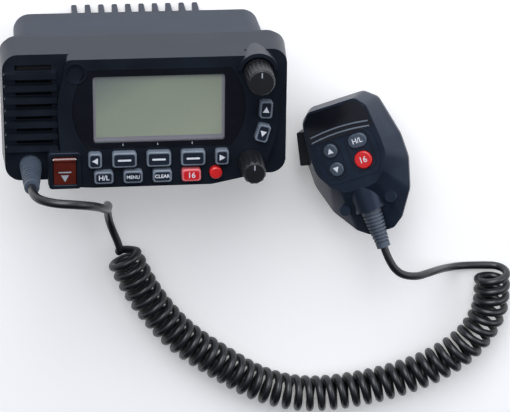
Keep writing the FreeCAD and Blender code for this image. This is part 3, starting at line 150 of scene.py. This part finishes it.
materialSpecs = [
    {"name": "grainedBlackPlastic", "dark": "#101318", "light": "#171c23", "rough": 0.36, "bump": 0.2,
     "tint": "#aebfe0"},
    {"name": "glossBlackAcrylic", "dark": "#0d0f14", "light": "#12151c", "rough": 0.14, "bump": 0.02,
     "coat": 0.5},
    {"name": "coatedCastAluminium", "dark": "#151a22", "light": "#1f262f", "rough": 0.44, "grain": 1.1,
     "bump": 0.5, "metal": 0.2, "tint": "#aebfe0"},
    {"name": "sealRubber", "dark": "#141414", "light": "#1b1b1c", "rough": 0.75},
    {"name": "stainlessSteel", "dark": "#9a9a98", "light": "#b8b8b6", "rough": 0.3, "metal": 1.0},
    {"name": "brightPlating", "dark": "#c4c4c2", "light": "#dededc", "rough": 0.16, "metal": 1.0},
    {"name": "boardLaminate", "dark": "#0e3b20", "light": "#16502c", "rough": 0.4},
    {"name": "tinnedSheet", "dark": "#a2a4a4", "light": "#b6b8b8", "rough": 0.35, "metal": 1.0},
    {"name": "clearLightGuide", "dark": "#c9ccc4", "light": "#dadcd4", "rough": 0.3},
    {"name": "blackSwitchPlastic", "dark": "#17181a", "light": "#202124", "rough": 0.42},
    {"name": "coatedPaperCone", "dark": "#141416", "light": "#202024", "rough": 0.6},
    {"name": "acousticCloth", "dark": "#08080a", "light": "#101012", "rough": 0.9, "grain": 4.0, "bump": 0.8},
    {"name": "bootRubber", "dark": "#3a434f", "light": "#4a5461", "rough": 0.48},
    {"name": "cordJacket", "dark": "#0e0f12", "light": "#17191d", "rough": 0.34, "bump": 0.08,
     "specular": 0.6},
    {"name": "blueBlackPlastic", "dark": "#151b26", "light": "#1f2733", "rough": 0.36, "bump": 0.12,
     "tint": "#b4c4e2"},
    {"name": "softTouchRubber", "dark": "#0f1013", "light": "#17191d", "rough": 0.42},
    {"name": "smokedRedPlastic", "dark": "#46150f", "light": "#5c2118", "rough": 0.22, "bump": 0.05,
     "coat": 0.5},
    {"name": "redPlastic", "dark": "#c01a1c", "light": "#d92a2a", "rough": 0.32, "bump": 0.08, "coat": 0.3},
    {"name": "keySilicone", "dark": "#59626e", "light": "#727c88", "rough": 0.44, "bump": 0.15},
    {"name": "micKeySilicone", "dark": "#333c48", "light": "#434e5b", "rough": 0.4, "bump": 0.15},
    {"name": "rimRed", "dark": "#c8565c", "light": "#dc7478", "rough": 0.4, "bump": 0.1},
    {"name": "keyInset", "dark": "#121822", "light": "#1a2230", "rough": 0.36, "bump": 0.1},
    {"name": "redInset", "dark": "#b9141c", "light": "#cf2229", "rough": 0.34, "bump": 0.1},
    {"name": "printedWhite", "dark": "#c6cbd2", "light": "#dfe3e8", "rough": 0.5, "bump": 0.02},
    {"name": "printedGrey", "dark": "#8d929a", "light": "#a4a9b0", "rough": 0.5, "bump": 0.02},
    {"name": "displayBorder", "dark": "#57525c", "light": "#655f69", "rough": 0.4, "bump": 0.02}]
materials = {spec["name"]: mould(spec) for spec in materialSpecs}

# unlit liquid crystal: green-grey, with painted shade darkening it towards its top left corner, and a faint
# pixel grid
liquidSpec = {
    "shadeSlant": -0.6, "low": -28, "high": 42, "cell": 0.35, "line": 0.02, "bump": 0.05, "bumpDepth": 0.00005,
    "rough": 0.35, "stops": [(0, "#7d8467"), (0.62, "#6e785a"), (1, "#2b3830")]}


def displayMaterial():
    material, tree, shader = newMaterial("liquidCrystal")
    point = texturePoint(tree)
    split = tree.nodes.new("ShaderNodeSeparateXYZ")
    tree.links.new(point, split.inputs["Vector"])
    # painted shade: the colour runs along this slant, from green-grey at the lower right to dark at the top
    # left
    shadeSlope = newNode(tree, "ShaderNodeMath", {1: liquidSpec["shadeSlant"]})
    shadeSlope.operation = "MULTIPLY_ADD"
    tree.links.new(split.outputs["X"], shadeSlope.inputs[0])
    tree.links.new(split.outputs["Y"], shadeSlope.inputs[2])
    spread = newNode(tree, "ShaderNodeMapRange", {"From Min": liquidSpec["low"],
                                                  "From Max": liquidSpec["high"]})
    tree.links.new(shadeSlope.outputs["Value"], spread.inputs["Value"])
    colourRamp(tree, spread.outputs["Result"], shader.inputs["Base Color"], liquidSpec["stops"])
    cell = liquidSpec["cell"]
    grid = newNode(tree, "ShaderNodeTexBrick", {"Scale": 1, "Brick Width": cell, "Row Height": cell,
                                                "Mortar Size": liquidSpec["line"]})
    grid.offset = 0
    tree.links.new(point, grid.inputs["Vector"])
    addBump(tree, shader, grid.outputs["Fac"], liquidSpec["bump"], liquidSpec["bumpDepth"])
    shader.inputs["Roughness"].default_value = liquidSpec["rough"]
    return material


def clearMaterial():
    material, _, shader = newMaterial("clearAcrylic")
    setInputs(shader, {"Base Color": linear("#dfe6ea"), "Roughness": 0.06, "Alpha": 0.08})
    return material


materials["liquidCrystal"] = displayMaterial()
materials["clearAcrylic"] = clearMaterial()

# the finish of each CAD node; any other, such as the panel's keys, is keySilicone
finishNodes = {
    "grainedBlackPlastic": ["front_bezel"],
    "coatedCastAluminium": ["rear_chassis", "power_amplifier"],
    "sealRubber": ["panel_gasket", "lead_glands", "speaker_gasket"],
    "stainlessSteel": ["chassis_screws", "board_screws", "flap_pin", "mic_screws", "volume_shaft",
                       "squelch_shaft"],
    "brightPlating": ["antenna_socket"],
    "boardLaminate": ["front_board", "main_board", "mic_board"],
    "tinnedSheet": ["rf_shield", "mic_capsule"],
    "displayBorder": ["lcd_panel"],
    "clearLightGuide": ["lcd_backlight"],
    "softTouchRubber": ["keypad_membrane", "mic_keypad_membrane", "volume_knob", "squelch_knob", "ptt_lever"],
    "blackSwitchPlastic": ["distress_switch", "volume_pot", "squelch_pot", "ptt_switch", "mic_hanger_stud"],
    "coatedPaperCone": ["loudspeaker"],
    "acousticCloth": ["speaker_mesh"],
    "bootRubber": ["radio_boot", "mic_boot"],
    "blueBlackPlastic": ["mic_rear_shell", "mic_front_shell", "mic_key_panel"],
    "glossBlackAcrylic": ["mic_grille_insert"],
    "smokedRedPlastic": ["distress_flap"],
    "redPlastic": ["distress_button", "key_red", "mic_key_16"],
    "rimRed": ["key_channel16"],
    "micKeySilicone": ["mic_key_up", "mic_key_down", "mic_key_power"]}
nodeFinish = {name: finish for finish, names in finishNodes.items() for name in names}
for name, node in nodes.items():
    node.data.materials.clear()
    node.data.materials.append(materials[nodeFinish.get(name, "keySilicone")])
print("materials", len(materials))


# outlines and meshes, with sizes in millimetres

def roundRect(wide, tall, radius, steps=5):
    points = []
    for sideX, sideY, start in ((1, 1, 0), (-1, 1, 90), (-1, -1, 180), (1, -1, 270)):
        for i in range(steps + 1):
            angle = math.radians(start + 90 * i / steps)
            points.append((sideX * (wide / 2 - radius) + radius * math.cos(angle),
                           sideY * (tall / 2 - radius) + radius * math.sin(angle)))
    return points


def roundedPath(corners, steps=8):
    # straight sides with an arc at each corner, anticlockwise; corners are x, y, radius
    points = []
    for i, (x, y, radius) in enumerate(corners):
        here = Vector((x, y))
        behind = (Vector(corners[i - 1][:2]) - here).normalized()
        ahead = (Vector(corners[(i + 1) % len(corners)][:2]) - here).normalized()
        half = behind.angle(ahead) / 2
        centre = here + (behind + ahead).normalized() * radius / math.sin(half)
        first = here + behind * radius / math.tan(half) - centre
        last = here + ahead * radius / math.tan(half) - centre
        start = math.atan2(first.y, first.x)
        sweep = math.atan2(last.y, last.x) - start
        sweep = (sweep + math.pi) % (2 * math.pi) - math.pi
        for k in range(steps + 1):
            angle = start + sweep * k / steps
            points.append((centre.x + radius * math.cos(angle), centre.y + radius * math.sin(angle)))
    return points


def triangle(size, angle, reach=0.62, foot=0.5):
    points = [(size * reach, 0), (-size * foot, size * reach), (-size * foot, -size * reach)]
    c, s = math.cos(math.radians(angle)), math.sin(math.radians(angle))
    return [(x * c - y * s, x * s + y * c) for x, y in points]


def shifted(points, x, y):
    return [(px + x, py + y) for px, py in points]


def at(x, y, z=0.0, angle=0.0):
    return Matrix.Translation((x * mm, y * mm, z * mm)) @ Matrix.Rotation(math.radians(angle), 4, "Z")


def addPrism(mesh, loops, low, high, index, place):
    # an outline, with holes if more loops are given, made into a plate between two heights
    made = bmesh.new()
    edges = []
    for loop in loops:
        ring = [made.verts.new((x * mm, y * mm, low * mm)) for x, y in loop]
        edges += [made.edges.new((a, b)) for a, b in zip(ring, ring[1:] + ring[:1])]
    bmesh.ops.triangle_fill(made, use_beauty=True, edges=edges, normal=upward)
    grown = bmesh.ops.extrude_face_region(made, geom=list(made.faces))
    tops = [v for v in grown["geom"] if isinstance(v, bmesh.types.BMVert)]
    bmesh.ops.translate(made, vec=upward * (high - low) * mm, verts=tops)
    bmesh.ops.recalc_face_normals(made, faces=made.faces)
    for face in made.faces:
        face.material_index = index
    made.transform(place)
    scratch = bpy.data.meshes.new("scratch")
    made.to_mesh(scratch)
    made.free()
    mesh.from_mesh(scratch)
    bpy.data.meshes.remove(scratch)


def meshFrom(curve):
    # a mesh of a scratch curve, which goes once it is read
    holder = addObject("scratch", curve)
    bpy.context.view_layer.update()
    mesh = bpy.data.meshes.new_from_object(holder)
    bpy.data.objects.remove(holder)
    bpy.data.curves.remove(curve)
    return mesh


letters = {"sizeToHeight": 1.38, "depth": 0.04, "swell": 0.05}


def addText(mesh, text, height, low, index, place):
    # a generic legend, centred on the place's origin
    curve = bpy.data.curves.new("scratch", "FONT")
    curve.body = text
    curve.size = height * mm * letters["sizeToHeight"]
    curve.align_x = "CENTER"
    curve.align_y = "CENTER"
    curve.extrude = letters["depth"] * mm
    curve.offset = letters["swell"] * mm
    scratch = meshFrom(curve)
    scratch.transform(place @ Matrix.Translation((0, 0, (low + letters["depth"]) * mm)))
    for face in scratch.polygons:
        face.material_index = index
    mesh.from_mesh(scratch)
    bpy.data.meshes.remove(scratch)


def finishPiece(name, mesh, body, finishes, replaced=()):
    data = bpy.data.meshes.new(name)
    mesh.to_mesh(data)
    mesh.free()
    for finish in finishes:
        data.materials.append(materials[finish])
    piece = addObject(name, data)
    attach(piece, body)
    if replaced:
        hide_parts(*replaced)


# the microphone's own frame, as it leans on its stud

micPose = {"place": (141.9, -63.6, 15.4), "yaw": 21.5, "lean": 24, "leanWay": 157, "bootTip": (0, -54, 24)}
leanWay = math.radians(micPose["leanWay"])
leanAxis = Vector((-math.sin(leanWay), math.cos(leanWay), 0))
mic = (Matrix.Translation(Vector(micPose["place"]) * mm)
       @ Matrix.Rotation(math.radians(micPose["lean"]), 4, leanAxis)
       @ Matrix.Rotation(math.radians(micPose["yaw"]), 4, "Z"))
micTip = mic @ (Vector(micPose["bootTip"]) * mm)
micWay = (mic.to_3x3() @ Vector((0, -1, 0))).normalized()


# the lead: one spline through the route's points, its curls and the route to the microphone

lead = {
    "radius": 2.5, "roundness": 4, "detail": 8, "readDetail": 24, "order": 3,
    "curlRadius": 9.4, "curlHeight": 12, "turns": 45.5, "perTurn": 12, "openTurns": 0.75, "openEvery": 3,
    "tipRun": 10,
    "radioRoute": [
        (-66.5, -30, 134), (-66.5, -30, 148), (-56.5, -30.3, 158), (-41.5, -31.5, 158.5),
        (-30.5, -37, 148.5), (-25, -46, 131), (-22.2, -57.5, 98), (-21.3, -68.5, 68), (-20.5, -80, 40),
        (-19.4, -90.8, 21.5), (-17.9, -103.3, 12)],
    "coilRoute": [
        (-11, -121), (-4, -139), (8, -161), (26, -184), (51, -203), (78, -221.5), (107, -230),
        (137, -228.5), (166, -223), (194, -213), (217, -197), (229, -176), (230, -158), (229, -146)],
    "micRoute": [
        (211.0, -145.6, 2.6), (200, -143.5, 10), (191, -138.5, 24), (182.5, -134, 38), (171.5, -131.5, 49.5),
        (160, -127, 55)]}


def nurbs(name, points, detail):
    curve = bpy.data.curves.new(name, "CURVE")
    curve.dimensions = "3D"
    curve.resolution_u = detail
    spline = curve.splines.new("NURBS")
    spline.points.add(len(points) - 1)
    for target, point in zip(spline.points, points):
        target.co = (*point, 1)
    spline.order_u = lead["order"]
    spline.use_endpoint_u = True
    return curve


def readLine(points):
    # the points of the smooth line that a route's spline makes
    mesh = meshFrom(nurbs("scratch", points, lead["readDetail"]))
    line = [v.co.copy() for v in mesh.vertices]
    bpy.data.meshes.remove(mesh)
    return line


def alongLine(line, share):
    # the point at a share of the line's length, and the line's heading there
    lengths = [0.0]
    for a, b in zip(line, line[1:]):
        lengths.append(lengths[-1] + (b - a).length)
    target = lengths[-1] * share
    last = len(line) - 2
    i = next(k for k in range(len(line) - 1) if lengths[k + 1] >= target or k == last)
    part = (target - lengths[i]) / (lengths[i + 1] - lengths[i])
    heading = (line[i + 1] - line[i]).normalized()
    if part < 0.5:
        before = line[i] - line[i - 1] if i else line[1] - line[0]
        heading = heading * (0.5 + part) + before.normalized() * (0.5 - part)
    return line[i].lerp(line[i + 1], part), heading.normalized()


def curls():
    # control points lie a little outside the curls, so that the spline through them has their radius
    line = readLine([(x * mm, y * mm, lead["curlHeight"] * mm) for x, y in lead["coilRoute"]])
    count = int(lead["turns"] * lead["perTurn"])
    grow = 1 / (0.75 + 0.25 * math.cos(2 * math.pi / lead["perTurn"]))
    points = []
    for i in range(count + 1):
        turnsDone = i / lead["perTurn"]
        if turnsDone < lead["openTurns"] and i % lead["openEvery"]:
            continue
        centre, heading = alongLine(line, i / count)
        across = heading.cross(upward)
        opened = min(1.0, turnsDone / lead["openTurns"])
        radius = lead["curlRadius"] * mm * (1 if i == count else grow) * (3 * opened ** 2 - 2 * opened ** 3)
        angle = 2 * math.pi * turnsDone
        points.append(centre + (upward * math.cos(angle) + across * math.sin(angle)) * radius)
    return points


leadPoints = [tuple(c * mm for c in point) for point in lead["radioRoute"]]
leadPoints += [tuple(point) for point in curls()]
leadPoints += [tuple(c * mm for c in point) for point in lead["micRoute"]]
leadPoints += [tuple(micTip + micWay * lead["tipRun"] * mm), tuple(micTip)]
leadCurve = nurbs("curlyLead", leadPoints, lead["detail"])
leadCurve.bevel_depth = lead["radius"] * mm
leadCurve.bevel_resolution = lead["roundness"]
leadCurve.use_fill_caps = True
leadCurve.materials.append(materials["cordJacket"])
curlyLead = addObject("curlyLead", leadCurve)
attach(curlyLead, "radio")
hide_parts("cord_tail_radio", "cord_coil", "cord_tail_mic")
measured = readLine(leadPoints)


# display window: a black bowed plate with a clear middle and three ticks under it, over the display

windowSizes = {
    "bow": [(-34, -18.8, 2), (48, -18.8, 2), (62, 4.7, 36), (48, 28.2, 2), (-34, 28.2, 2), (-48, 4.7, 36)],
    "opening": (75, 39.5, 1.6), "openingAt": (7, 4.7), "low": 104.35, "high": 105.9,
    "clearLow": 104.5, "clearHigh": 105.7,
    "ticks": (-13.8, 6.0, 25.8), "tickHalf": 0.25, "tickLow": -17.2, "tickHigh": -15.9, "tickTop": 105.93}
opening = shifted(roundRect(*windowSizes["opening"]), *windowSizes["openingAt"])
window = bmesh.new()
addPrism(window, [roundedPath(windowSizes["bow"]), opening],
         windowSizes["low"], windowSizes["high"], 0, unmoved)
addPrism(window, [opening], windowSizes["clearLow"], windowSizes["clearHigh"], 1, unmoved)
for x in windowSizes["ticks"]:
    left, right = x - windowSizes["tickHalf"], x + windowSizes["tickHalf"]
    low, high = windowSizes["tickLow"], windowSizes["tickHigh"]
    addPrism(window, [[(left, low), (right, low), (right, high), (left, high)]],
             windowSizes["high"], windowSizes["tickTop"], 2, unmoved)
finishPiece("windowPlate", window, "radio", ["glossBlackAcrylic", "clearAcrylic", "printedGrey"],
            ["display_window"])

liquidSizes = {"outline": (72, 36.4, 0.6), "at": (7, 5.6), "low": 103.0, "high": 103.2}
liquid = bmesh.new()
addPrism(liquid, [shifted(roundRect(*liquidSizes["outline"]), *liquidSizes["at"])],
         liquidSizes["low"], liquidSizes["high"], 0, unmoved)
finishPiece("liquidPane", liquid, "radio", ["liquidCrystal"])


# key faces: a dark inset in each pale rim, and its mark

keyFace = {"top": 110.2, "rim": 2.2, "radius": 1.3, "sunk": -0.1, "raised": 0.05, "mark": 0.12,
           "arrow": 3.0, "barTall": 1.1, "barRadius": 0.3}
panelKeys = [
    {"name": "key_left", "x": -30, "y": -24.6, "wide": 7.8, "tall": 9, "arrow": 180},
    {"name": "key_soft_left", "x": -13.25, "y": -24.6, "wide": 14, "tall": 9, "bar": 7.6},
    {"name": "key_soft_centre", "x": 6.4, "y": -24.6, "wide": 14, "tall": 9, "bar": 7.6},
    {"name": "key_soft_right", "x": 26.05, "y": -24.6, "wide": 14, "tall": 9, "bar": 7.6},
    {"name": "key_right", "x": 42.7, "y": -24.6, "wide": 7.8, "tall": 9, "arrow": 0},
    {"name": "key_power_level", "x": -25.2, "y": -35, "wide": 11, "tall": 7.4, "text": "H/L", "size": 3.0},
    {"name": "key_menu", "x": -8.45, "y": -35, "wide": 11, "tall": 7.4, "text": "MENU", "size": 2.0},
    {"name": "key_clear", "x": 8.3, "y": -35, "wide": 11, "tall": 7.4, "text": "CLEAR", "size": 2.1},
    {"name": "key_channel16", "x": 25.05, "y": -35, "wide": 11, "tall": 7.4, "text": "16", "size": 3.4,
     "inset": "redInset"},
    {"name": "key_up", "x": 67.8, "y": 3.4, "wide": 7.4, "tall": 10.5, "turn": -4, "arrow": 90},
    {"name": "key_down", "x": 66.1, "y": -10.8, "wide": 7.4, "tall": 10.5, "turn": -16, "arrow": -90}]
for key in panelKeys:
    place = at(key["x"], key["y"], keyFace["top"], key.get("turn", 0))
    face = bmesh.new()
    inset = roundRect(key["wide"] - keyFace["rim"], key["tall"] - keyFace["rim"], keyFace["radius"])
    addPrism(face, [inset], keyFace["sunk"], keyFace["raised"], 0, place)
    if "text" in key:
        addText(face, key["text"], key["size"], keyFace["raised"], 1, place)
    else:
        mark = (triangle(keyFace["arrow"], key["arrow"]) if "arrow" in key
                else roundRect(key["bar"], keyFace["barTall"], keyFace["barRadius"]))
        addPrism(face, [mark], keyFace["raised"], keyFace["mark"], 1, place)
    finishPiece("face_" + key["name"], face, key["name"] + "_cap",
                [key.get("inset", "keyInset"), "printedWhite"])

flapSizes = {"x": -47.3, "low": 108.4, "high": 108.46, "arrow": 3.6, "arrowY": -35.0, "bar": (7.4, 0.7, 0.2),
             "barY": -31.4}
flapMark = bmesh.new()
addPrism(flapMark, [triangle(flapSizes["arrow"], -90)], flapSizes["low"], flapSizes["high"], 0,
         at(flapSizes["x"], flapSizes["arrowY"]))
addPrism(flapMark, [roundRect(*flapSizes["bar"])], flapSizes["low"], flapSizes["high"], 0,
         at(flapSizes["x"], flapSizes["barY"]))
finishPiece("flapMark", flapMark, "flap_lid", ["printedGrey"])

micKeyFace = {"top": 35.2, "mark": 0.06, "arrow": 3.0}
micKeys = [
    {"name": "mic_key_up", "x": -9.3, "y": 13.8, "arrow": 90},
    {"name": "mic_key_down", "x": -9.3, "y": 1.9, "arrow": -90},
    {"name": "mic_key_power", "x": 9, "y": 15, "text": "H/L", "size": 3.2},
    {"name": "mic_key_16", "x": 8.6, "y": 2.7, "text": "16", "size": 3.8}]
for key in micKeys:
    place = mic @ at(key["x"], key["y"], micKeyFace["top"])
    face = bmesh.new()
    if "text" in key:
        addText(face, key["text"], key["size"], 0.0, 0, place)
    else:
        addPrism(face, [triangle(micKeyFace["arrow"], key["arrow"])], 0.0, micKeyFace["mark"], 0, place)
    finishPiece("face_" + key["name"], face, key["name"] + "_cap", ["printedWhite"])

# raised outlines round the two pairs of microphone keys
surroundSizes = {
    "low": 33.35, "high": 33.9, "band": 1.1, "radius": 5.6, "innerRadius": 5.1,
    "pairs": [
        {"x": -9.3, "y": 7.85, "wide": 12.2, "tall": 25.2},
        {"x": 8.8, "y": 8.9, "wide": 15.8, "tall": 25.6}]}
surround = bmesh.new()
for pair in surroundSizes["pairs"]:
    outer = roundRect(pair["wide"], pair["tall"], surroundSizes["radius"])
    inner = roundRect(pair["wide"] - surroundSizes["band"], pair["tall"] - surroundSizes["band"],
                      surroundSizes["innerRadius"])
    addPrism(surround, [shifted(outer, pair["x"], pair["y"]), shifted(inner, pair["x"], pair["y"])],
             surroundSizes["low"], surroundSizes["high"], 0, mic)
finishPiece("keySurround", surround, "radio", ["glossBlackAcrylic"])

# glossy top of the microphone's face, the two ridges under it, and a flush dark strip as painted shade for
# the groove round the face
faceSizes = {
    "gloss": [(21, 20.6, 1), (19.9, 33.5, 5), (14.8, 39.2, 4)], "low": 32.9, "glossTop": 33.3,
    "ridges": (21.2, 24.4), "ridgeReach": 19, "ridgeRise": 1.6, "ridgeWide": 0.8, "ridgeTop": 33.8,
    "groove": [(12, -12, 4), (17.5, -6, 6), (22, 3, 14), (22, 12, 14), (20.3, 33.6, 6), (15, 39.8, 5)],
    "grooveWide": 0.5, "grooveTop": 33.04}


def mirrored(side, inset=0.0):
    # a closed outline from its right-hand half, drawn in sideways by an inset
    half = [(x - inset, y, radius) for x, y, radius in side]
    return half + [(-x, y, radius) for x, y, radius in half[::-1]]


faceTop = bmesh.new()
addPrism(faceTop, [roundedPath(mirrored(faceSizes["gloss"]))],
         faceSizes["low"], faceSizes["glossTop"], 0, mic)
reach = faceSizes["ridgeReach"]
# painted highlight: the two ridges take the pale keySilicone finish for the light along their crests
for ridge in faceSizes["ridges"]:
    arc = [(x, ridge + faceSizes["ridgeRise"] * (1 - (x / reach) ** 2)) for x in range(-reach, reach + 1)]
    upper = shifted(arc[::-1], 0, faceSizes["ridgeWide"])
    addPrism(faceTop, [arc + upper], faceSizes["glossTop"], faceSizes["ridgeTop"], 1, mic)
# painted shade: a flush dark strip stands for the shadow in the groove round the face
groove = [roundedPath(mirrored(faceSizes["groove"], inset)) for inset in (0.0, faceSizes["grooveWide"])]
addPrism(faceTop, groove, faceSizes["low"], faceSizes["grooveTop"], 0, mic)
# the second finish, keySilicone, is the painted highlight of the ridges
finishPiece("micFaceTop", faceTop, "radio", ["glossBlackAcrylic", "keySilicone"])
print("faces", len(panelKeys) + len(micKeys))

# a pale index line on each knob
indexSizes = {"outline": (0.7, 3.0, 0.2), "low": 127.6, "high": 0.06, "fromEdge": 3.1}
knobs = [
    {"name": "index_volume", "x": 63, "y": 25.5, "body": "volume_control", "reach": 7.6},
    {"name": "index_squelch", "x": 59.5, "y": -28.5, "body": "squelch_control", "reach": 6.6}]
for knob in knobs:
    line = bmesh.new()
    middle = knob["y"] + knob["reach"] - indexSizes["fromEdge"]
    addPrism(line, [roundRect(*indexSizes["outline"])], 0, indexSizes["high"], 0,
             at(knob["x"], middle, indexSizes["low"]))
    finishPiece(knob["name"], line, knob["body"], ["printedGrey"])
print("marks", len(knobs))


# floor, lights and sky

studio = {
    "floorHalf": 4, "floorColour": "#f4f4f4", "floorRough": 0.9, "floorGlow": "#fffdf8",
    "floorGlowStrength": 0.22, "aim": (0.05, -0.06, 0.05), "skyLow": -0.25, "skyHigh": 0.45,
    "skyStrength": 0.85, "skyStops": [(0, "#333538"), (1, "#e2eaff")]}
half = studio["floorHalf"]
floor = bpy.data.meshes.new("floor")
floorCorners = [(-half, -half, 0), (half, -half, 0), (half, half, 0), (-half, half, 0)]
floor.from_pydata(floorCorners, [], [(0, 1, 2, 3)])
floorObject = addObject("floor", floor)
floorMaterial, _, floorShader = newMaterial("palePaper")
setInputs(floorShader, {
    "Base Color": linear(studio["floorColour"]), "Roughness": studio["floorRough"],
    "Emission Color": linear(studio["floorGlow"]), "Emission Strength": studio["floorGlowStrength"]})
floor.materials.append(floorMaterial)

lights = [
    {"name": "keyLight", "place": (-0.25, 0.95, 1.15), "size": 1.0, "power": 15},
    {"name": "fillLight", "place": (1.2, 0.3, 0.7), "size": 1.0, "power": 5},
    {"name": "topLight", "place": (0.1, 1.3, 0.6), "size": 0.8, "power": 6}]
for light in lights:
    data = bpy.data.lights.new(light["name"], "AREA")
    data.size = light["size"]
    data.energy = light["power"]
    lamp = addObject(light["name"], data)
    place = Vector(light["place"])
    facing = (place - Vector(studio["aim"])).to_track_quat("Z", "Y").to_matrix().to_4x4()
    lamp.matrix_world = Matrix.Translation(place) @ facing

# the sky: dim in front of the panel and bright beyond its top edge, so that only the slopes shine
world = bpy.data.worlds.new("studio")
world.use_nodes = True
tree = world.node_tree
direction = tree.nodes.new("ShaderNodeTexCoord")
split = tree.nodes.new("ShaderNodeSeparateXYZ")
tree.links.new(direction.outputs["Generated"], split.inputs["Vector"])
spread = newNode(tree, "ShaderNodeMapRange", {"From Min": studio["skyLow"], "From Max": studio["skyHigh"]})
tree.links.new(split.outputs["Y"], spread.inputs["Value"])
sky = tree.nodes["Background"]
colourRamp(tree, spread.outputs["Result"], sky.inputs["Color"], studio["skyStops"])
sky.inputs["Strength"].default_value = studio["skyStrength"]
bpy.context.scene.world = world
bpy.context.scene.view_settings.view_transform = "Standard"
print("lights", len(lights))
